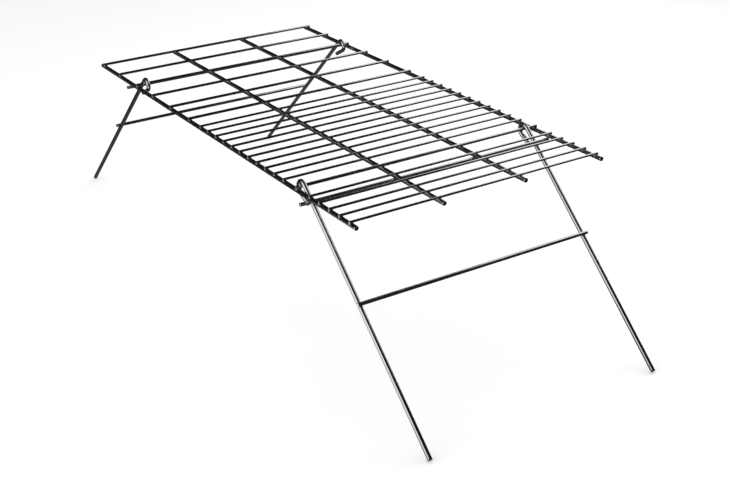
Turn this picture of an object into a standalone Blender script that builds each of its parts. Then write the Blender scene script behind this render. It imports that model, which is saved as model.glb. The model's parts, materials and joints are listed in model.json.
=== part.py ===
"""Folding camp grill grate of welded, chrome plated steel wire.

Four long rods carry the cross wires, which are welded down onto them. Two of the cross wires are thicker and
serve as pivots: the legs of each leg frame end in long open eyes hooked round them. A stop bar across the top
of each leg frame comes up under the long rods and sets how far the legs splay. A brace lower down ties the
two legs together. Swung inwards, the near frame folds flat under the grate and the far frame folds up to it.

Metres, +Z up. +X runs from the widely spaced far end of the grate to its near end, and +Y from the left long
rod to the right one. The origin is on the ground, in the middle between the four feet.
"""
import math

import bmesh
import bpy
from mathutils import Matrix

OBJECT_NAME = "folding_camp_grill"

# Clearance between pieces that touch, and how deep a weld lets one wire into another.
GAP = 0.0003
WELD_SINK = 0.0005

# The grate: its outline and its wire sizes.
GRATE_LENGTH = 0.610
GRATE_WIDTH = 0.305
ROD_COUNT = 4
ROD_DIAMETER = 0.005
WIDE_WIRE_DIAMETER = 0.0032
CLOSE_WIRE_DIAMETER = 0.0026
PIVOT_DIAMETER = 0.0035

# Cross wires, from the far end to the near end. The wide group is of thicker wire and ends at a gap, and the
# close group follows it. The near pivot has room for its hooks on both sides, and the end group, of the same
# wire as the close one, runs to the near end.
FAR_MARGIN = 0.0090
WIDE_COUNT = 6
WIDE_TO_CLOSE_GAP = 0.0295
CLOSE_COUNT = 11
CLOSE_PITCH = 0.0188
HOOK_ROOM = 0.0260
END_COUNT = 5
END_PITCH = 0.0184
NEAR_MARGIN = 0.0094
FAR_PIVOT_INDEX = 2
FAR_PIVOT_SHIFT = 0.0033

# The leg frames: leg wire, how far it reaches from the pivot to the foot, and its angle under the grate.
LEG_DIAMETER = 0.005
LEG_REACH = 0.2965
SPLAY = math.radians(43.0)
SIDE_PLAY = 0.005
PASSING_GAP = 0.0007

# The eye: its slack round the pivot wire, and the tail that runs back along the leg and nearly closes it.
EYE_SLACK = 0.00225
TAIL_LENGTH = 0.0170
TAIL_CONVERGENCE = math.radians(15.0)

# The bars across the legs.
BAR_DIAMETER = 0.004
BRACE_REACH = 0.1353
STOP_OVERHANG = 0.016
BRACE_OVERHANG = 0.004

# Shape of the cut wire ends, and how finely round sections and bends are drawn.
END_CHAMFER = 0.0004
THICK_SIDES = 16
THIN_SIDES = 12
BEND_STEP = math.radians(15.0)
SHARP_ANGLE = math.radians(50.0)
CAP_WELD_DISTANCE = 0.00001
FLAT_ANGLE = math.radians(1.0)

# Chrome as linear colour and roughness. The thin wires and the pivots are a little brighter than the frames.
ROD_CHROME = ((0.56, 0.57, 0.58), 0.16)
WIRE_CHROME = ((0.62, 0.63, 0.64), 0.18)
PIVOT_CHROME = ((0.62, 0.63, 0.64), 0.16)
LEG_CHROME = ((0.58, 0.59, 0.60), 0.14)
BAR_CHROME = ((0.56, 0.57, 0.58), 0.18)

# Turns that lay a cylinder's own axis along X and along Y.
ALONG_X = (0.0, math.pi / 2, 0.0)
ALONG_Y = (math.pi / 2, 0.0, 0.0)

# Sizes that follow from those above.
ROD_RADIUS = ROD_DIAMETER / 2
PIVOT_RADIUS = PIVOT_DIAMETER / 2
LEG_RADIUS = LEG_DIAMETER / 2
BAR_RADIUS = BAR_DIAMETER / 2
CROSS_DIAMETERS = {"wide": WIDE_WIRE_DIAMETER, "close": CLOSE_WIRE_DIAMETER, "pivot": PIVOT_DIAMETER}

# The outer rods are flush with the cross wires' ends, and the legs have side play inside the outer rods.
ROD_SPACING = (GRATE_WIDTH - ROD_DIAMETER) / (ROD_COUNT - 1)
OUTER_ROD_Y = ROD_SPACING * (ROD_COUNT - 1) / 2
LEG_Y = OUTER_ROD_Y - ROD_RADIUS - LEG_RADIUS - SIDE_PLAY

# The near leg frame is slid against the left outer rod. The far one stands a leg's width further right, so
# that its legs pass beside the near frame's when both are folded. The feet are centred on the origin.
NEAR_FRAME_SLIDE = GAP - SIDE_PLAY
FAR_FRAME_SLIDE = NEAR_FRAME_SLIDE + LEG_DIAMETER + PASSING_GAP
GRATE_Y = -(NEAR_FRAME_SLIDE + FAR_FRAME_SLIDE) / 2

# The eye bears on the pivot wire from below, because the stop bar levers the leg against it. Its bend is
# therefore centred below the pivot axis, by the slack less the clearance that stays at the top.
EYE_RADIUS = PIVOT_RADIUS + EYE_SLACK + LEG_RADIUS
EYE_DROP = EYE_SLACK - GAP
EYE_ALONG = EYE_DROP * math.sin(SPLAY)
EYE_ACROSS = -EYE_DROP * math.cos(SPLAY)
LEG_OFFSET = EYE_ACROSS + EYE_RADIUS
BAR_OFFSET = LEG_OFFSET + LEG_RADIUS + BAR_RADIUS - WELD_SINK

# Heights. The foot's lowest point is the edge of its square cut.
PIVOT_OVER_ROD = ROD_RADIUS + PIVOT_RADIUS - WELD_SINK
FOOT_EDGE_DROP = LEG_RADIUS * math.cos(SPLAY) - END_CHAMFER * min(math.sin(SPLAY), math.cos(SPLAY))
PIVOT_Z = LEG_REACH * math.sin(SPLAY) - LEG_OFFSET * math.cos(SPLAY) + FOOT_EDGE_DROP
ROD_Z = PIVOT_Z - PIVOT_OVER_ROD

# The stop bar lies where it meets the underside of the rods with the legs at their splay.
STOP_DROP = PIVOT_OVER_ROD + ROD_RADIUS + BAR_RADIUS + GAP
STOP_REACH = (STOP_DROP + BAR_OFFSET * math.cos(SPLAY)) / math.sin(SPLAY)


def remove_everything():
    """Empties the scene."""
    for thing in list(bpy.data.objects):
        bpy.data.objects.remove(thing, do_unlink=True)


def new_collection(name):
    """A collection in the scene."""
    collection = bpy.data.collections.new(name)
    bpy.context.scene.collection.children.link(collection)
    return collection


def chrome(name, finish):
    """Chrome plate on drawn steel wire, from its colour and roughness."""
    colour, roughness = finish
    material = bpy.data.materials.new(name)
    material.use_nodes = True
    shader = material.node_tree.nodes["Principled BSDF"]
    shader.inputs["Base Color"].default_value = (*colour, 1.0)
    shader.inputs["Metallic"].default_value = 1.0
    shader.inputs["Roughness"].default_value = roughness
    material.diffuse_color = (*colour, 1.0)
    return material


def cross_wire_places():
    """Cross wires from far to near, as (distance from the far end, kind)."""
    end_last = GRATE_LENGTH - NEAR_MARGIN
    end_group = [end_last - (END_COUNT - 1 - i) * END_PITCH for i in range(END_COUNT)]
    near_pivot = end_group[0] - HOOK_ROOM
    close_last = near_pivot - HOOK_ROOM
    close_group = [close_last - (CLOSE_COUNT - 1 - i) * CLOSE_PITCH for i in range(CLOSE_COUNT)]
    wide_last = close_group[0] - WIDE_TO_CLOSE_GAP
    wide_pitch = (wide_last - FAR_MARGIN) / (WIDE_COUNT - 1)
    places = []
    for i in range(WIDE_COUNT):
        kind, shift = ("pivot", FAR_PIVOT_SHIFT) if i == FAR_PIVOT_INDEX else ("wide", 0.0)
        places.append((FAR_MARGIN + i * wide_pitch + shift, kind))
    places += [(place, "close") for place in close_group]
    places.append((near_pivot, "pivot"))
    places += [(place, "close") for place in end_group]
    return places


def object_from_bmesh(name, mesh_data, collection, material=None):
    """Turns a bmesh into an object."""
    mesh = bpy.data.meshes.new(name)
    mesh_data.to_mesh(mesh)
    mesh_data.free()
    if material is not None:
        mesh.materials.append(material)
    thing = bpy.data.objects.new(name, mesh)
    collection.objects.link(thing)
    return thing


def add_cylinder(mesh_data, radius, length, sides, matrix):
    """Adds a closed cylinder along its own Z to a bmesh, placed by a matrix."""
    bmesh.ops.create_cone(
        mesh_data,
        cap_ends=True,
        segments=sides,
        radius1=radius,
        radius2=radius,
        depth=length,
        matrix=matrix,
    )


def shade_round(mesh):
    """Smooth sides with a sharp rim at the cut ends."""
    mesh.shade_smooth()
    mesh.set_sharp_from_angle(angle=SHARP_ANGLE)


def chamfer_ends(thing):
    """Breaks the edge that the cutter leaves on a wire's ends."""
    bevel = thing.modifiers.new("cut_edge", "BEVEL")
    bevel.width = END_CHAMFER
    bevel.segments = 1
    bevel.limit_method = "ANGLE"
    bevel.angle_limit = SHARP_ANGLE


def press_seats(thing, cutter):
    """Sinks the seats of the wires that are welded onto this one."""
    seats = thing.modifiers.new("weld_seats", "BOOLEAN")
    seats.operation = "DIFFERENCE"
    seats.solver = "EXACT"
    seats.object = cutter


def seat_cutter(name, bars, length, collection):
    """One cutter for the seats of parallel bars along Y, from their (x, z, diameter)."""
    mesh_data = bmesh.new()
    across = Matrix.Rotation(math.pi / 2, 4, "X")
    for x, z, diameter in bars:
        add_cylinder(mesh_data, diameter / 2 + GAP, length, THIN_SIDES, Matrix.Translation((x, 0.0, z)) @ across)
    cutter = object_from_bmesh(name, mesh_data, collection)
    cutter.display_type = "WIRE"
    cutter.hide_render = True
    return cutter


def straight_wire(name, diameter, length, sides, material, collection):
    """A straight length of round wire along its own Z, with its cut ends chamfered."""
    mesh_data = bmesh.new()
    add_cylinder(mesh_data, diameter / 2, length, sides, Matrix.Identity(4))
    wire = object_from_bmesh(name, mesh_data, collection, material)
    shade_round(wire.data)
    chamfer_ends(wire)
    return wire


def build_grate(far_end_x, places, parts, cutters):
    """The long rods, and the cross wires and pivot wires seated on them."""
    crossings = []
    for place, kind in places:
        diameter = CROSS_DIAMETERS[kind]
        crossings.append((far_end_x + place, ROD_Z + ROD_RADIUS + diameter / 2 - WELD_SINK, diameter))
    cutter = seat_cutter("cross_wire_seats", crossings, GRATE_WIDTH + 2 * ROD_DIAMETER, cutters)
    cutter.location.y = GRATE_Y

    rod_chrome = chrome("long_rod_chrome", ROD_CHROME)
    for i in range(ROD_COUNT):
        rod = straight_wire(f"long_rod_{i + 1}", ROD_DIAMETER, GRATE_LENGTH, THICK_SIDES, rod_chrome, parts)
        rod.location = (far_end_x + GRATE_LENGTH / 2, GRATE_Y - OUTER_ROD_Y + i * ROD_SPACING, ROD_Z)
        rod.rotation_euler = ALONG_X
        press_seats(rod, cutter)

    wire_chrome = chrome("cross_wire_chrome", WIRE_CHROME)
    pivot_chrome = chrome("pivot_wire_chrome", PIVOT_CHROME)
    pivot_names = iter(("far_pivot_wire", "near_pivot_wire"))
    thin_count = 0
    for (x, z, diameter), (_, kind) in zip(crossings, places):
        if kind == "pivot":
            name, sides, material = next(pivot_names), THICK_SIDES, pivot_chrome
        else:
            thin_count += 1
            name, sides, material = f"cross_wire_{thin_count:02d}", THIN_SIDES, wire_chrome
        wire = straight_wire(name, diameter, GRATE_WIDTH, sides, material, parts)
        wire.location = (x, GRATE_Y, z)
        wire.rotation_euler = ALONG_Y


def in_leg_plane(along, across):
    """X and Z, from the pivot axis, of a point down the leg and out of its upper side."""
    x = along * math.cos(SPLAY) + across * math.sin(SPLAY)
    z = across * math.cos(SPLAY) - along * math.sin(SPLAY)
    return x, z


def leg_centreline():
    """A leg's wire from the tip of its tail round the eye to its foot, as (along, across)."""
    turn = math.pi + TAIL_CONVERGENCE
    steps = round(turn / BEND_STEP)
    bend = []
    for i in range(steps + 1):
        angle = turn * (1 - i / steps)
        bend.append((EYE_ALONG - EYE_RADIUS * math.sin(angle), EYE_ACROSS + EYE_RADIUS * math.cos(angle)))
    tail_along = bend[0][0] + TAIL_LENGTH * math.cos(TAIL_CONVERGENCE)
    tail_across = bend[0][1] + TAIL_LENGTH * math.sin(TAIL_CONVERGENCE)
    return [(tail_along, tail_across), *bend, (LEG_REACH, LEG_OFFSET)]


def leg_mesh(material, collection):
    """The bent wire of a leg round the pivot axis, as a closed mesh."""
    curve = bpy.data.curves.new("leg_wire", "CURVE")
    curve.dimensions = "3D"
    curve.bevel_depth = LEG_RADIUS
    curve.bevel_resolution = THICK_SIDES // 2 - 2
    curve.use_fill_caps = True
    centreline = leg_centreline()
    spline = curve.splines.new("POLY")
    spline.points.add(len(centreline) - 1)
    for point, (along, across) in zip(spline.points, centreline):
        x, z = in_leg_plane(along, across)
        point.co = (x, 0.0, z, 1.0)
    wire = bpy.data.objects.new("leg_wire", curve)
    collection.objects.link(wire)

    evaluated = wire.evaluated_get(bpy.context.evaluated_depsgraph_get())
    mesh = bpy.data.meshes.new_from_object(evaluated)
    bpy.data.objects.remove(wire, do_unlink=True)
    mesh_data = bmesh.new()
    mesh_data.from_mesh(mesh)
    bmesh.ops.remove_doubles(mesh_data, verts=mesh_data.verts, dist=CAP_WELD_DISTANCE)
    bmesh.ops.dissolve_limit(mesh_data, angle_limit=FLAT_ANGLE, verts=mesh_data.verts, edges=mesh_data.edges)
    mesh_data.to_mesh(mesh)
    mesh_data.free()
    mesh.materials.append(material)
    shade_round(mesh)
    return mesh


def build_leg_frame(side, pivot_x, slide, turn, leg, bar_chrome, parts, cutters):
    """Two legs with their eyes, a stop bar and a brace, all carried by an empty on the pivot axis.

    The far frame is the near one turned half round about Z.
    """
    axis = bpy.data.objects.new(f"{side}_leg_frame", None)
    axis.location = (pivot_x, GRATE_Y + slide, PIVOT_Z)
    axis.rotation_euler = (0.0, 0.0, turn)
    parts.objects.link(axis)

    bars = []
    for name, reach, overhang in (("stop_bar", STOP_REACH, STOP_OVERHANG), ("brace", BRACE_REACH, BRACE_OVERHANG)):
        x, z = in_leg_plane(reach, BAR_OFFSET)
        bars.append((x, z, BAR_DIAMETER))
        bar = straight_wire(f"{side}_{name}", BAR_DIAMETER, 2 * (LEG_Y + overhang), THICK_SIDES, bar_chrome, parts)
        bar.location = (x, 0.0, z)
        bar.rotation_euler = ALONG_Y
        bar.parent = axis
    cutter = seat_cutter(f"{side}_bar_seats", bars, 2 * LEG_Y + 2 * LEG_DIAMETER, cutters)
    cutter.parent = axis

    left_y = -LEG_Y * math.cos(turn)
    for name, y in (("left", left_y), ("right", -left_y)):
        wire = bpy.data.objects.new(f"{side}_leg_{name}", leg)
        wire.location = (0.0, y, 0.0)
        wire.parent = axis
        parts.objects.link(wire)
        chamfer_ends(wire)
        press_seats(wire, cutter)


def build():
    """Builds the whole grill."""
    remove_everything()
    parts = new_collection(OBJECT_NAME)
    cutters = new_collection("cutters")

    places = cross_wire_places()
    far_pivot, near_pivot = (place for place, kind in places if kind == "pivot")
    half_span = (near_pivot - far_pivot) / 2
    build_grate(-half_span - far_pivot, places, parts, cutters)

    leg = leg_mesh(chrome("leg_chrome", LEG_CHROME), parts)
    bar_chrome = chrome("bar_chrome", BAR_CHROME)
    build_leg_frame("near", half_span, NEAR_FRAME_SLIDE, 0.0, leg, bar_chrome, parts, cutters)
    build_leg_frame("far", -half_span, FAR_FRAME_SLIDE, math.pi, leg, bar_chrome, parts, cutters)


build()
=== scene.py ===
import json
import math

import bpy
import numpy as np
from mathutils import Matrix, Vector


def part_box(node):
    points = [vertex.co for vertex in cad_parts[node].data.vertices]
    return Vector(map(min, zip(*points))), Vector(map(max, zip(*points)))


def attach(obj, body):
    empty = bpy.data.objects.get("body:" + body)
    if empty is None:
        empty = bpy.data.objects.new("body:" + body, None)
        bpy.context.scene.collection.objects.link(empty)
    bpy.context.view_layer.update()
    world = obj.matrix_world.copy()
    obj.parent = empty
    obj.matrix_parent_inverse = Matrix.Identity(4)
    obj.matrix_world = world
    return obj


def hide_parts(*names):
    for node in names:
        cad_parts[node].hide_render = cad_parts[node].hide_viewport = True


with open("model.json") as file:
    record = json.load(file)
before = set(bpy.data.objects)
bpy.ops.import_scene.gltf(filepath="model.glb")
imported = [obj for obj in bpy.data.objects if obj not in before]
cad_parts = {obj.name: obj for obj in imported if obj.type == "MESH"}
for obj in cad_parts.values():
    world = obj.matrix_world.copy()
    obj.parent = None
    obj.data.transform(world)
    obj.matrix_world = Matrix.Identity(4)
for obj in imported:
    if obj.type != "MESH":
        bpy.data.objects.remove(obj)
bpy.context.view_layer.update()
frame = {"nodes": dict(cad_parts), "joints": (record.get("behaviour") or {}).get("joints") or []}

scene = bpy.context.scene
scene.view_settings.view_transform = "Standard"

# Camera. It looks down on the grate from beyond its near left corner through a short telephoto lens, from
# the place that puts the modelled wire crossings on the photographed ones. Lengths here and below are in
# metres, unless a name says mm.
CAMERA_PLACE = (1.21192, -0.71119, 0.68890)
LOOK_AZIMUTH = math.radians(147.806)
LOOK_ELEVATION = math.radians(-25.270)
LOOK_ROLL = math.radians(-1.109)
SENSOR_MM = 36.0
LENS_MM = 63.02
FARTHEST_SEEN = 200.0


def look_matrix(azimuth, elevation, roll):
    """Camera axes as columns: right and up, turned by the roll about the look direction, and backwards."""
    level = math.cos(elevation)
    ahead = Vector((level * math.cos(azimuth), level * math.sin(azimuth), math.sin(elevation)))
    level_right = Vector((math.sin(azimuth), -math.cos(azimuth), 0.0))
    level_up = level_right.cross(ahead)
    right = level_right * math.cos(roll) + level_up * math.sin(roll)
    up = level_up * math.cos(roll) - level_right * math.sin(roll)
    return Matrix((right, up, -ahead)).transposed()


lens = bpy.data.cameras.new("camera")
lens.sensor_width = SENSOR_MM
lens.lens = LENS_MM
lens.clip_end = FARTHEST_SEEN
camera = bpy.data.objects.new("camera", lens)
camera.location = CAMERA_PLACE
camera.rotation_euler = look_matrix(LOOK_AZIMUTH, LOOK_ELEVATION, LOOK_ROLL).to_euler()
scene.collection.objects.link(camera)
scene.camera = camera

# Room. Plain soft daylight from all round for what is matt. Shiny pieces mirror a thin white horizon and a
# dim ceiling above it, as in a studio, so that bright metal keeps its dark tones.
DAYLIGHT = 0.90
CEILING_GLOW = 0.018
HORIZON_FADE = 0.02


def add_node(tree, kind, inputs=None, **settings):
    """Adds a node with its settings. inputs maps a socket to a value, or to the output that feeds it."""
    made = tree.nodes.new(kind)
    for key, value in settings.items():
        setattr(made, key, value)
    for key, value in (inputs or {}).items():
        if isinstance(value, bpy.types.NodeSocket):
            tree.links.new(value, made.inputs[key])
        else:
            made.inputs[key].default_value = value
    return made


world = bpy.data.worlds.new("studio")
world.use_nodes = True
scene.world = world
room = world.node_tree
room.nodes.clear()
matt_ray = add_node(room, "ShaderNodeLightPath").outputs["Is Diffuse Ray"]
direction = add_node(room, "ShaderNodeTexCoord").outputs["Generated"]
height = add_node(room, "ShaderNodeSeparateXYZ", {0: direction}).outputs["Z"]
above = add_node(room, "ShaderNodeMapRange", {
    0: height, 1: 0.0, 2: HORIZON_FADE, 3: 1.0, 4: CEILING_GLOW},
    interpolation_type="SMOOTHSTEP").outputs[0]
strength = add_node(room, "ShaderNodeMix", {0: matt_ray, 2: above, 3: DAYLIGHT}).outputs[0]
glow = add_node(room, "ShaderNodeBackground", {"Strength": strength}).outputs[0]
add_node(room, "ShaderNodeOutputWorld", {"Surface": glow})

# Floor. A wide sheet of matt white board. It is lifted to full white for the camera and for reflections,
# and keeps the soft shadow of the grill.
FLOOR_HALF = 60.0
FLOOR_WHITE = "#E7E7E7"
FLOOR_LIFT = 0.27


def linear(sheet_colour):
    """An sRGB hex colour as linear red, green and blue with an alpha of one."""
    parts = [int(sheet_colour[i:i + 2], 16) / 255 for i in (1, 3, 5)]
    return (*[c / 12.92 if c <= 0.04045 else ((c + 0.055) / 1.055) ** 2.4 for c in parts], 1.0)


def bare_material(name):
    """A material without nodes, its node tree, and the surface socket of its output."""
    material = bpy.data.materials.new(name)
    material.use_nodes = True
    tree = material.node_tree
    tree.nodes.clear()
    return material, tree, add_node(tree, "ShaderNodeOutputMaterial").inputs["Surface"]


def square_sheet(name, half, z, material):
    """One level square face round the origin, its corners anticlockwise so that it faces up."""
    mesh = bpy.data.meshes.new(name)
    corners = [(-half, -half, z), (half, -half, z), (half, half, z), (-half, half, z)]
    mesh.from_pydata(corners, [], [range(4)])
    mesh.materials.append(material)
    sheet = bpy.data.objects.new(name, mesh)
    scene.collection.objects.link(sheet)
    return sheet


board, tree, surface = bare_material("matt_white_board")
ray = add_node(tree, "ShaderNodeLightPath").outputs
mirrored = add_node(tree, "ShaderNodeMath", {0: ray["Is Glossy Ray"], 1: ray["Is Transmission Ray"]},
                    operation="MAXIMUM").outputs[0]
seen = add_node(tree, "ShaderNodeMath", {0: mirrored, 1: ray["Is Camera Ray"]},
                operation="MAXIMUM").outputs[0]
lift = add_node(tree, "ShaderNodeMath", {0: seen, 1: FLOOR_LIFT}, operation="MULTIPLY").outputs[0]
matt = add_node(tree, "ShaderNodeBsdfDiffuse", {"Color": linear(FLOOR_WHITE)}).outputs[0]
lifted = add_node(tree, "ShaderNodeEmission", {"Strength": lift}).outputs[0]
tree.links.new(add_node(tree, "ShaderNodeAddShader", {0: matt, 1: lifted}).outputs[0], surface)
square_sheet("floor", FLOOR_HALF, 0.0, board)

# Painted reflections. A glowing sheet that only reflections show, which paints dark surroundings into the
# shiny wire so that its edges don't vanish in the white. It lies under and behind the grill, glows lighter
# round the far legs, and fades to the floor's white at the front left.
CARD_HALF = 40.0
CARD_HEIGHT = 0.0003
CARD_GLOW = 0.018
FAR_GLOW = 0.062
FAR_FROM_X, FAR_TO_X = 0.05, -0.33
FAR_FROM_Y, FAR_TO_Y = -0.36, -0.06
WHITE_FROM_Y = -0.08
WHITE_EDGE_OUT = (0.788, -0.616, 0.0)
WHITE_EDGE_AT = 0.075
WHITE_FADE = 0.22
painted_reflection, tree, surface = bare_material("painted_reflection_card")
place = add_node(tree, "ShaderNodeTexCoord").outputs["Object"]
level = add_node(tree, "ShaderNodeSeparateXYZ", {0: place}).outputs
far_x = add_node(tree, "ShaderNodeMapRange", {
    0: level["X"], 1: FAR_FROM_X, 2: FAR_TO_X, 3: 0.0, 4: FAR_GLOW},
    interpolation_type="SMOOTHSTEP").outputs[0]
far_y = add_node(tree, "ShaderNodeMapRange", {
    0: level["Y"], 1: FAR_FROM_Y, 2: FAR_TO_Y, 3: 0.0, 4: 1.0},
    interpolation_type="SMOOTHSTEP").outputs[0]
dark = add_node(tree, "ShaderNodeMath", {0: far_x, 1: far_y, 2: CARD_GLOW},
                operation="MULTIPLY_ADD").outputs[0]
front = add_node(tree, "ShaderNodeMath", {0: WHITE_FROM_Y, 1: level["Y"]}, operation="SUBTRACT").outputs[0]
out = add_node(tree, "ShaderNodeVectorMath", {0: place, 1: WHITE_EDGE_OUT},
               operation="DOT_PRODUCT").outputs["Value"]
beyond = add_node(tree, "ShaderNodeMath", {0: out, 1: WHITE_EDGE_AT}, operation="SUBTRACT").outputs[0]
inside = add_node(tree, "ShaderNodeMath", {0: front, 1: beyond}, operation="MINIMUM").outputs[0]
white = add_node(tree, "ShaderNodeMapRange", {
    0: inside, 1: 0.0, 2: WHITE_FADE, 3: 0.0, 4: 1.0},
    interpolation_type="SMOOTHSTEP").outputs[0]
# The sheet's glow is painted reflection: dark under the grill, lighter round the far legs, white at the front
# left.
shade = add_node(tree, "ShaderNodeMix", {0: white, 2: dark, 3: 1.0}).outputs[0]
tree.links.new(add_node(tree, "ShaderNodeEmission", {"Strength": shade}).outputs[0], surface)
reflection_card = square_sheet("painted_reflection_card", CARD_HALF, CARD_HEIGHT, painted_reflection)
reflection_card.visible_camera = False
reflection_card.visible_diffuse = False
reflection_card.visible_transmission = False
reflection_card.visible_shadow = False

# Lamps. Two soft boxes: a large one at the left that lights the fronts of the legs, and a lower one at the
# right, leant over the grate, that lights the tops of the cross wires.


def soft_box(name, place, aim, width, tall, radiance):
    """A rectangular lamp at a place, facing a point. Blender's area lamp shines at power / (4 * area)."""
    lamp = bpy.data.lights.new(name, "AREA")
    lamp.shape = "RECTANGLE"
    lamp.size = width
    lamp.size_y = tall
    lamp.energy = radiance * 4 * width * tall
    box = bpy.data.objects.new(name, lamp)
    box.location = place
    box.rotation_euler = (Vector(aim) - Vector(place)).to_track_quat("-Z", "Y").to_euler()
    box.visible_camera = False
    scene.collection.objects.link(box)


soft_box("left_soft_box", place=(0.04, -1.75, 0.85), aim=(0.0, 0.0, 0.10), width=2.2, tall=1.4, radiance=1.0)
soft_box("right_soft_box", place=(-0.108, 0.892, 0.8115), aim=(-0.003, 0.0925, 0.0635), width=1.38, tall=0.86,
         radiance=1.05)

# Long rods. Four straight lengths of 5 mm drawn steel rod, sawn square, with the cut edge broken, and
# chrome plated together with the wires that are resistance welded onto them.
ROD_SIDES = 40
ROD_CHAMFER = 0.00035
CUT_TURN = np.radians([0.0, 30.0, 60.0, 90.0])
FACE_RING = 0.6
WELD_FILLET = 0.0014
WELD_UNEVENNESS = 0.22
WELD_PHASE = (2.4, 37, 11)
WELD_STEP = 0.00030
PLAIN_STEP = 0.004
CUT_MARGIN = 1.5 * ROD_CHAMFER
BEAD_FILL = 0.85
CLOUD_MM = 18.0
PIT_MM = 0.9
LINE_STRETCH = 120
CLOUD_FROM, CLOUD_TO = 0.3, 0.7
LIGHT_CLOUD, HEAVY_CLOUD = 0.75, 1.35
WELD_DULLNESS = 0.30
PIT_SHARE = 0.35
BUMP_STRENGTH = 0.12
BUMP_HEIGHT = 0.00005
# Paler colour painted on the cut faces of the wire ends: a painted highlight.
CUT_END_HIGHLIGHT = "#EAE9E4"
CUT_DULLNESS = 0.06


def stations(length, crossings, reach):
    """Distances along a wire: fine steps within reach of each crossing, and coarse ones between them."""
    coarse = np.arange(0.0, length, PLAIN_STEP)
    apart = np.abs(coarse[:, None] - np.array(crossings)[None, :]).min(axis=1)
    fine = [np.arange(place - reach, place + reach, WELD_STEP) for place in crossings]
    inside = np.concatenate([coarse[apart > reach + WELD_STEP], *fine])
    return np.unique(np.round(inside[(inside > CUT_MARGIN) & (inside < length - CUT_MARGIN)], 6))


def cut_ends(along, length, radius, chamfer):
    """Adds the cut ends: a pole, a ring and the rim of the flat, and the quarter round of the broken edge.

    Distance is chamfer * (1 - cos t), and radius is r - chamfer + chamfer * sin t, for t from 0 to 90
    degrees.
    """
    near_end = chamfer * (1 - np.cos(CUT_TURN))
    rounding = radius - chamfer + chamfer * np.sin(CUT_TURN)
    flat = np.array([0.0, FACE_RING * (radius - chamfer)])
    distance = np.concatenate([np.zeros(2), near_end, along, length - near_end[::-1], np.full(2, length)])
    radii = np.concatenate([flat, rounding, np.full(len(along), radius), rounding[::-1], flat[::-1]])
    return distance, radii


def sweep(centres, tangents, side, radii, sides):
    """A round section carried along a path: centre + radius * (cos a * side + sin a * (tangent x side))."""
    angle = np.arange(sides) * 2 * np.pi / sides
    over = np.cross(tangents, side)
    normals = (np.cos(angle)[None, :, None] * side[None, None, :]
               + np.sin(angle)[None, :, None] * over[:, None, :])
    return centres[:, None, :] + normals * radii[:, None, None], normals


def fillet(points, normals, others, radii):
    """Swells a wire's surface towards the wires welded to it, and says how near each point is to a weld.

    others gives a point, a direction and a radius for each of those wires.
    At distance d from another wire's surface the rise is (k - d)^2 / 4k within the fillet's reach k, as in
    a smooth union of the two. k differs a little from weld to weld, by a sine of its number and place.
    """
    rise = np.zeros(points.shape[:2])
    nearness = np.zeros(points.shape[:2])
    for number, (place, along, radius) in enumerate(others):
        phase = WELD_PHASE[0] * number + WELD_PHASE[1] * place[0] + WELD_PHASE[2] * place[1]
        reach = WELD_FILLET * (1 + WELD_UNEVENNESS * math.sin(phase))
        apart = points - place
        off_axis = apart - (apart @ along)[..., None] * along
        gap = np.clip(np.linalg.norm(off_axis, axis=-1) - radius, 0.0, reach)
        rise = np.maximum(rise, (reach - gap) ** 2 / (4 * reach))
        nearness = np.maximum(nearness, 1 - gap / reach)
    full = (radii / radii.max())[:, None]
    return points + normals * (rise * full)[..., None], nearness


def wire_piece(name, points, wire_space, weld):
    """Joins the rings of a swept wire into a closed skin with one vertex at each pole.

    wire_space holds (along, across, up) in the wire's own frame, so that a pattern follows its bends. A
    point is on a cut face where its distance along the wire is the least or the greatest.
    """
    rings, sides = points.shape[:2]
    along = wire_space[..., 0]
    cut = (along == along.min()) | (along == along.max())
    vertices, space, near, cut = (
        np.concatenate([grid[0, :1], grid[1:-1].reshape(-1, *grid.shape[2:]), grid[-1, :1]])
        for grid in (points, wire_space, weld, cut))
    ring = np.arange(rings - 3)[:, None] * sides + 1
    here = np.arange(sides)[None, :]
    there = (here + 1) % sides
    quads = np.stack([ring + here, ring + there, ring + sides + there, ring + sides + here], axis=-1)
    first = np.stack([np.zeros(sides, int), there[0] + 1, here[0] + 1], axis=-1)
    start = (rings - 3) * sides + 1
    last = np.stack([np.full(sides, len(vertices) - 1), here[0] + start, there[0] + start], axis=-1)
    mesh = bpy.data.meshes.new(name)
    mesh.from_pydata(vertices.tolist(), [], quads.reshape(-1, 4).tolist() + first.tolist() + last.tolist())
    mesh.shade_smooth()
    mesh.attributes.new("wire_space", "FLOAT_VECTOR", "POINT").data.foreach_set("vector", space.ravel())
    mesh.attributes.new("weld", "FLOAT", "POINT").data.foreach_set("value", near)
    mesh.attributes.new("cut", "FLOAT", "POINT").data.foreach_set("value", cut.astype(float))
    piece = bpy.data.objects.new(name, mesh)
    scene.collection.objects.link(piece)
    return piece


def round_wire(node, axis):
    """Middle, direction and radius of a straight CAD wire, from its box."""
    low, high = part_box(node)
    return np.array((low + high) / 2), np.eye(3)[axis], (high.z - low.z) / 2


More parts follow.
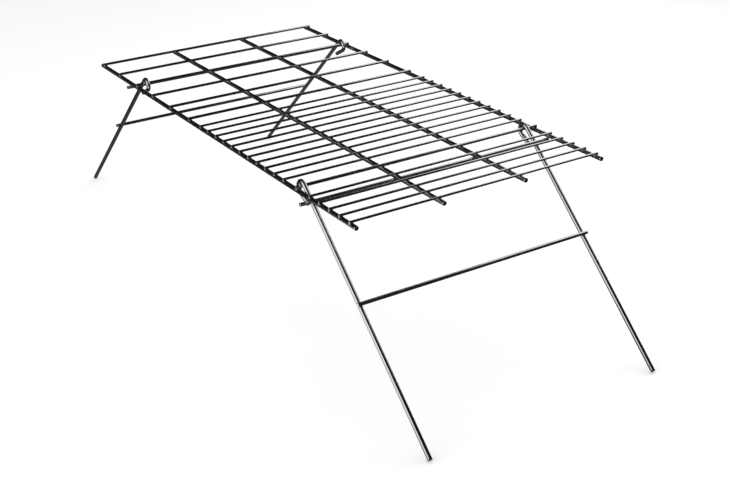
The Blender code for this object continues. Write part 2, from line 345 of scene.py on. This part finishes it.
def straight_wire(node, axis, sides, crossed, chamfer=ROD_CHAMFER, end_rods=()):
    """A straight wire in the place of a CAD node, along X (0) or Y (1), with fillets at its crossings.

    Past the middle of an end rod the wire's underside droops by the gap between it and that rod's surface,
    which is the bead that the weld squeezes out and the cropping cuts flush.
    """
    middle, along, radius = round_wire(node, axis)
    low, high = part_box(node)
    length = high[axis] - low[axis]
    start = middle - along * length / 2
    up = np.array([0.0, 0.0, 1.0])
    places = [float((place - start) @ along) for place, _, _ in crossed]
    reach = max(r for _, _, r in crossed) + WELD_FILLET
    distance, radii = cut_ends(stations(length, places, reach), length, radius, chamfer)
    centres = start + distance[:, None] * along
    points, normals = sweep(centres, np.tile(along, (len(distance), 1)), up, radii, sides)
    under = np.clip(-normals[..., 2], 0.0, 1.0) * (radii / radius)[:, None]
    for place, _, rod_radius in end_rods:
        outwards = (centres - place) @ along * np.sign((place - middle) @ along)
        surface = place[2] + np.sqrt(np.clip(rod_radius ** 2 - outwards ** 2, 0.0, None))
        droop = np.where(outwards > 0, np.clip(middle[2] - radius - surface, 0.0, None), 0.0) * BEAD_FILL
        points[..., 2] -= under * droop[:, None]
    points, weld = fillet(points, normals, crossed, radii)
    space = np.concatenate([np.broadcast_to(distance[:, None, None], (*points.shape[:2], 1)),
                            (normals * radii[:, None, None])[..., [1 - axis, 2]]], axis=-1)
    return wire_piece("plated_" + node, points, space, weld)


def chrome_plate(name, plate, weld_tint, roughness, streak_mm, cut_highlight):
    """Bright chrome plate over drawn steel wire. It mirrors, and reads as black and white bands.

    Draw lines run along the wire, drawn at streak_mm apart, ten times too coarse, so that they show. The
    plate has uneven clouds and fine pits, also drawn coarse, and is duller and warmer by the welds. The
    last argument, 0 for sawn ends and 1 for cropped ones, is how far the cut faces are painted paler, a
    painted highlight, and made duller.
    """
    material, tree, surface = bare_material(name)
    space = add_node(tree, "ShaderNodeAttribute", attribute_name="wire_space").outputs["Vector"]
    weld = add_node(tree, "ShaderNodeAttribute", attribute_name="weld").outputs["Fac"]
    across = 1000 / streak_mm
    stretched = add_node(tree, "ShaderNodeMapping", {
        "Vector": space, "Scale": (across / LINE_STRETCH, across, across)}).outputs[0]
    lines = add_node(tree, "ShaderNodeTexNoise", {
        "Vector": stretched, "Scale": 1.0, "Detail": 2.0, "Roughness": 0.5}).outputs["Fac"]
    clouds = add_node(tree, "ShaderNodeTexNoise", {
        "Vector": space, "Scale": 1000 / CLOUD_MM, "Detail": 3.0, "Roughness": 0.55}).outputs["Fac"]
    pits = add_node(tree, "ShaderNodeTexNoise", {
        "Vector": space, "Scale": 1000 / PIT_MM, "Detail": 2.0, "Roughness": 0.6}).outputs["Fac"]
    dull = add_node(tree, "ShaderNodeMath", {0: weld, 1: clouds}, operation="MULTIPLY").outputs[0]
    face = add_node(tree, "ShaderNodeAttribute", attribute_name="cut").outputs["Fac"]
    cut = add_node(tree, "ShaderNodeMath", {0: face, 1: cut_highlight}, operation="MULTIPLY").outputs[0]
    skin = add_node(tree, "ShaderNodeMix", {0: dull, 6: linear(plate), 7: linear(weld_tint)},
                    data_type="RGBA").outputs[2]
    # Cut faces get the paler colour, a painted highlight, and below a duller roughness.
    colour = add_node(tree, "ShaderNodeMix", {0: cut, 6: skin, 7: linear(CUT_END_HIGHLIGHT)},
                      data_type="RGBA").outputs[2]
    cloudy = add_node(tree, "ShaderNodeMapRange", {
        0: clouds, 1: CLOUD_FROM, 2: CLOUD_TO, 3: roughness * LIGHT_CLOUD,
        4: roughness * HEAVY_CLOUD}).outputs[0]
    round_weld = add_node(tree, "ShaderNodeMath", {0: dull, 1: WELD_DULLNESS, 2: cloudy},
                          operation="MULTIPLY_ADD").outputs[0]
    rough = add_node(tree, "ShaderNodeMath", {0: cut, 1: CUT_DULLNESS, 2: round_weld},
                     operation="MULTIPLY_ADD").outputs[0]
    relief = add_node(tree, "ShaderNodeMath", {0: pits, 1: PIT_SHARE, 2: lines},
                      operation="MULTIPLY_ADD").outputs[0]
    bump = add_node(tree, "ShaderNodeBump", {
        "Strength": BUMP_STRENGTH, "Distance": BUMP_HEIGHT, "Height": relief}).outputs[0]
    shader = add_node(tree, "ShaderNodeBsdfPrincipled", {
        "Base Color": colour, "Metallic": 1.0, "Roughness": rough, "Normal": bump})
    tree.links.new(shader.outputs[0], surface)
    return material


def finish_piece(piece, material, body, node):
    """Gives a piece its material and body, and sets it in the place of its CAD node."""
    piece.data.materials.append(material)
    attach(piece, body)
    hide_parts(node)


rod_chrome = chrome_plate("bright_chrome_rod", plate="#C4C4C3", weld_tint="#ABA89C", roughness=0.11,
                          streak_mm=0.5, cut_highlight=0.0)
RODS = sorted(node for node in frame["nodes"] if node.startswith("long_rod"))
CROSS_WIRES = sorted(node for node in frame["nodes"] if node.startswith("cross_wire"))
PIVOTS = ["far_pivot_wire", "near_pivot_wire"]
on_rods = [round_wire(node, 1) for node in CROSS_WIRES + PIVOTS]
for node in RODS:
    finish_piece(straight_wire(node, 0, ROD_SIDES, on_rods), rod_chrome, "grate", node)

# Cross wires. Thin drawn wire, 3.2 mm in the wide group at the far end and 2.6 mm in the rest. Welded on hot
# and under load, each sinks half a millimetre into the rods, and its ends are cropped flush with them.
WIRE_SIDES = 28
WIRE_CHAMFER = 0.00022
wire_chrome = chrome_plate("bright_chrome_wire", plate="#CACAC6", weld_tint="#AFACA0", roughness=0.13,
                           streak_mm=0.35, cut_highlight=1.0)
under_wires = [round_wire(node, 0) for node in RODS]
outer_rods = [under_wires[0], under_wires[-1]]
for node in CROSS_WIRES:
    piece = straight_wire(node, 1, WIRE_SIDES, under_wires, WIRE_CHAMFER, outer_rods)
    finish_piece(piece, wire_chrome, "grate", node)

# Pivot wires. Two cross wires of thicker drawn wire, 3.5 mm, that the eyes of the legs turn on. They are
# welded on and cropped flush like the others, and plated with them.
PIVOT_SIDES = 36
pivot_chrome = chrome_plate("bright_chrome_pivot", plate="#C9C9C5", weld_tint="#ADAA9E", roughness=0.12,
                            streak_mm=0.45, cut_highlight=1.0)
for node in PIVOTS:
    piece = straight_wire(node, 1, PIVOT_SIDES, under_wires, WIRE_CHAMFER, outer_rods)
    finish_piece(piece, pivot_chrome, "grate", node)

# Legs. 5 mm rod, drawn a hair thin to stay inside the faceted model, sawn square at the foot and cold bent
# at the top into a long open eye of 8 mm bore that hooks over the pivot wire, with its tail run back under
# the leg.
LEG_SIDES = 44
LEG_RADIUS = 0.00249
LEG_REACH = 0.2965
SPLAY = math.radians(43.0)
EYE_RADIUS = 0.0065
EYE_DROP = 0.00195
TAIL_LENGTH = 0.0170
TAIL_CONVERGENCE = math.radians(15.0)
BEND_STEP = math.radians(2.5)
FOOT_CHAMFER = 0.0007
BEND_TURN = math.pi + TAIL_CONVERGENCE
BEND_END = TAIL_LENGTH + EYE_RADIUS * BEND_TURN
EYE_CENTRE = np.array([EYE_DROP * math.sin(SPLAY), -EYE_DROP * math.cos(SPLAY)])
FRAMES = {"near": 1, "far": -1}
HINGES = {joint["name"]: np.array(joint["pos_m"]) for joint in frame["joints"]}


def leg_path(distance):
    """Centre and tangent of a leg's wire at distances from the tip of its tail, as (along, across) the leg.

    A straight tail, then an arc of BEND_TURN round the eye's centre, then the straight shank.
    """
    angle = BEND_TURN - np.clip((distance - TAIL_LENGTH) / EYE_RADIUS, 0.0, BEND_TURN)
    tangent = np.stack([np.cos(angle), np.sin(angle)], axis=1)
    on_arc = EYE_CENTRE + EYE_RADIUS * np.stack([-np.sin(angle), np.cos(angle)], axis=1)
    straight = np.clip(distance - TAIL_LENGTH, None, 0.0) + np.clip(distance - BEND_END, 0.0, None)
    return on_arc + tangent * straight[:, None], tangent


def splayed(flat, facing):
    """Turns (along, across) the leg into world offsets: down by the splay, and towards X times facing."""
    along, across = flat[:, 0], flat[:, 1]
    x = along * math.cos(SPLAY) + across * math.sin(SPLAY)
    z = across * math.cos(SPLAY) - along * math.sin(SPLAY)
    return np.stack([facing * x, np.zeros(len(flat)), z], axis=1)


def leg_wire(node, hinge, facing, bars):
    """The leg path swept with a round section in the place of a CAD leg, with fillets at its bars."""
    low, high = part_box(node)
    place = np.array([hinge[0], (low.y + high.y) / 2, hinge[2]])
    down = splayed(np.array([[1.0, 0.0]]), facing)[0]
    shank_start = BEND_END - EYE_CENTRE[0]
    length = shank_start + LEG_REACH
    crossings = [shank_start + float((bar - place) @ down) for bar, _, _ in bars]
    straight = stations(length, crossings, bars[0][2] + WELD_FILLET)
    straight = straight[(straight < TAIL_LENGTH - WELD_STEP) | (straight > BEND_END + WELD_STEP)]
    bend = np.arange(TAIL_LENGTH, BEND_END, EYE_RADIUS * BEND_STEP)
    along = np.sort(np.concatenate([straight, bend]))
    distance, radii = cut_ends(along, length, LEG_RADIUS, FOOT_CHAMFER)
    flat, tangent = leg_path(distance)
    side = np.array([0.0, 1.0, 0.0])
    centres = place + splayed(flat, facing)
    points, normals = sweep(centres, splayed(tangent, facing), side, radii, LEG_SIDES)
    points, weld = fillet(points, normals, bars, radii)
    angle = np.arange(LEG_SIDES) * 2 * np.pi / LEG_SIDES
    space = np.stack([distance[:, None] * np.ones(LEG_SIDES), radii[:, None] * np.cos(angle),
                      radii[:, None] * np.sin(angle)], axis=-1)
    return wire_piece("plated_" + node, points, space, weld)


leg_chrome = chrome_plate("bright_chrome_leg", plate="#C9C9C7", weld_tint="#ACA99D", roughness=0.09,
                          streak_mm=0.5, cut_highlight=0.0)
for end, facing in FRAMES.items():
    bars = [round_wire(f"{end}_{bar}", 1) for bar in ("stop_bar", "brace")]
    for node in (f"{end}_leg_left", f"{end}_leg_right"):
        piece = leg_wire(node, HINGES[f"{end}_leg_fold"], facing, bars)
        finish_piece(piece, leg_chrome, f"{end}_leg_frame", node)

# Leg bars. Two 4 mm wires welded across the upper side of each pair of legs. The upper one comes up under
# the rods and stops the frame at its splay, and the lower one braces the legs.
BAR_SIDES = 36
bar_chrome = chrome_plate("bright_chrome_bar", plate="#C8C8C5", weld_tint="#ADAA9E", roughness=0.11,
                          streak_mm=0.45, cut_highlight=1.0)
for end, facing in FRAMES.items():
    down = splayed(np.array([[1.0, 0.0]]), facing)[0]
    shank = HINGES[f"{end}_leg_fold"] + splayed(np.array([[0.0, EYE_CENTRE[1] + EYE_RADIUS]]), facing)[0]
    legs = []
    for node in (f"{end}_leg_left", f"{end}_leg_right"):
        low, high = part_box(node)
        legs.append((shank + np.array([0.0, (low.y + high.y) / 2, 0.0]), down, LEG_RADIUS))
    for node in (f"{end}_stop_bar", f"{end}_brace"):
        piece = straight_wire(node, 1, BAR_SIDES, legs)
        finish_piece(piece, bar_chrome, f"{end}_leg_frame", node)
